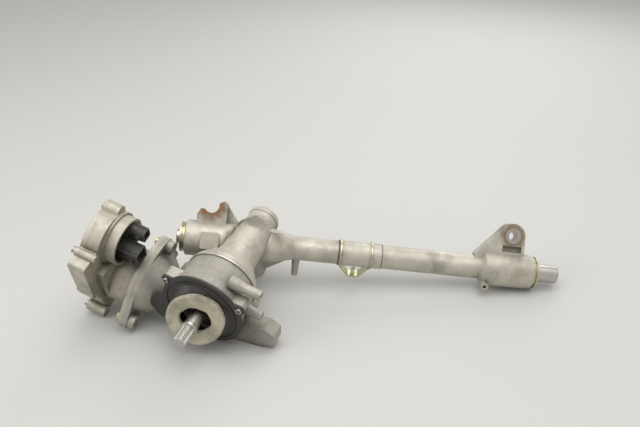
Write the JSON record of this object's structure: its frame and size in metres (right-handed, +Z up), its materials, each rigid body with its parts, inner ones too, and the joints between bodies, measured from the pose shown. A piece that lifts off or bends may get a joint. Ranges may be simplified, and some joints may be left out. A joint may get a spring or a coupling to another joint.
{
  "type": "electric steering rack",
  "caption": "Rack-and-pinion steering gear with an electric drive: rack bar in a cast tube, pinion with worm drive, motor with control unit, splined input shaft.",
  "frame": {"origin": "centre of the left boot seat's outer face, on the rack axis", "axes": "+X along the rack to its right end, +Z up, the input shaft towards -Y"},
  "size_m": [0.67, 0.2376, 0.1829],
  "materials": {
    "cast_housing": "as-cast",
    "cast_drum": "as-cast",
    "cast_motor": "die-cast",
    "ground_steel": "ground",
    "bearing_steel": "polished",
    "zinc_yellow": "yellow zinc",
    "screw_steel": "plain",
    "rusty_steel": "rusted",
    "black_plastic": "moulded",
    "nylon": "moulded",
    "foam": "open foam",
    "rubber": "moulded",
    "spring_steel": "oiled",
    "lamination": "stacked sheet",
    "copper": "enamelled wire",
    "magnet": "sintered",
    "board": "lacquered"
  },
  "bodies": {
    "housing": {"bearing_lock_ring": "bearing_steel", "boot_ring_left": "zinc_yellow", "boot_ring_right": "zinc_yellow", "circuit_board": "board", "clip_plug": "nylon", "collar_screws": "screw_steel", "column_bearing_outer": "bearing_steel", "dust_collar": "black_plastic", "ecu_cover": "cast_motor", "ecu_housing": "cast_motor", "ecu_screws": "screw_steel", "eye_bushing": "rusty_steel", "foam_seal": "foam", "front_cover": "cast_drum", "gear_housing": "cast_drum", "housing_screws": "zinc_yellow", "input_bearing_outer": "bearing_steel", "input_seal": "rubber", "motor_bearings_outer": "bearing_steel", "motor_end_plate": "cast_motor", "motor_housing": "cast_motor", "motor_screws": "zinc_yellow", "nose_bearing": "bearing_steel", "pinion_bearing_outer": "bearing_steel", "power_connector": "black_plastic", "rack_bush": "black_plastic", "rack_housing": "cast_housing", "signal_connector": "black_plastic", "stator_coils": "copper", "stator_core": "lamination", "strap_clip": "zinc_yellow", "torque_sensor": "black_plastic", "tower_cap": "cast_housing", "worm_bearings_outer": "bearing_steel", "worm_retainer": "bearing_steel", "yoke_plug": "ground_steel", "yoke_slipper": "nylon", "yoke_spring": "spring_steel"},
    "rack": {"rack_bar": "ground_steel"},
    "pinion": {"pinion_shaft": "ground_steel", "pinion_bearing_inner": "bearing_steel", "column_bearing_inner": "bearing_steel", "worm_wheel_rim": "nylon", "worm_wheel_hub": "bearing_steel"},
    "input": {"input_shaft": "ground_steel", "sensor_magnet": "magnet", "input_bearing_inner": "bearing_steel", "torsion_bar": "ground_steel"},
    "worm": {"worm_shaft": "ground_steel", "worm_bearings_inner": "bearing_steel", "coupling_worm": "spring_steel", "coupling_spider": "rubber", "coupling_motor": "spring_steel", "rotor_core": "lamination", "rotor_magnets": "magnet", "motor_shaft": "ground_steel", "motor_bearings_inner": "bearing_steel"}
  },
  "joints": [
    {"name": "rack_slide", "type": "slide", "parent": "housing", "child": "rack", "axis": [1, 0, 0], "range_m": [-0.102, 0.038]},
    {"name": "pinion_turn", "type": "hinge", "parent": "housing", "child": "pinion", "pos_m": [0.102, -0.00399, 0.016], "axis": [-0.342, -0.9118, -0.2273], "range_deg": [-696.23, 259.7]},
    {"name": "torsion_twist", "type": "hinge", "parent": "pinion", "child": "input", "pos_m": [0.102, -0.00399, 0.016], "axis": [-0.342, -0.9118, -0.2273], "range_deg": [-4.5, 4.5], "stiffness_Nm_per_rad": 115},
    {"name": "worm_spin", "type": "hinge", "parent": "housing", "child": "worm", "pos_m": [0.05872, -0.09788, -0.05258], "axis": [0.9361, -0.3095, -0.167], "range_deg": [-5318.5, 14267.6]}
  ],
  "couplings": [
    {"joint": "pinion_turn", "follows": "rack_slide", "rad_per_m": 119.05},
    {"joint": "worm_spin", "follows": "rack_slide", "rad_per_m": -2440.5}
  ]
}
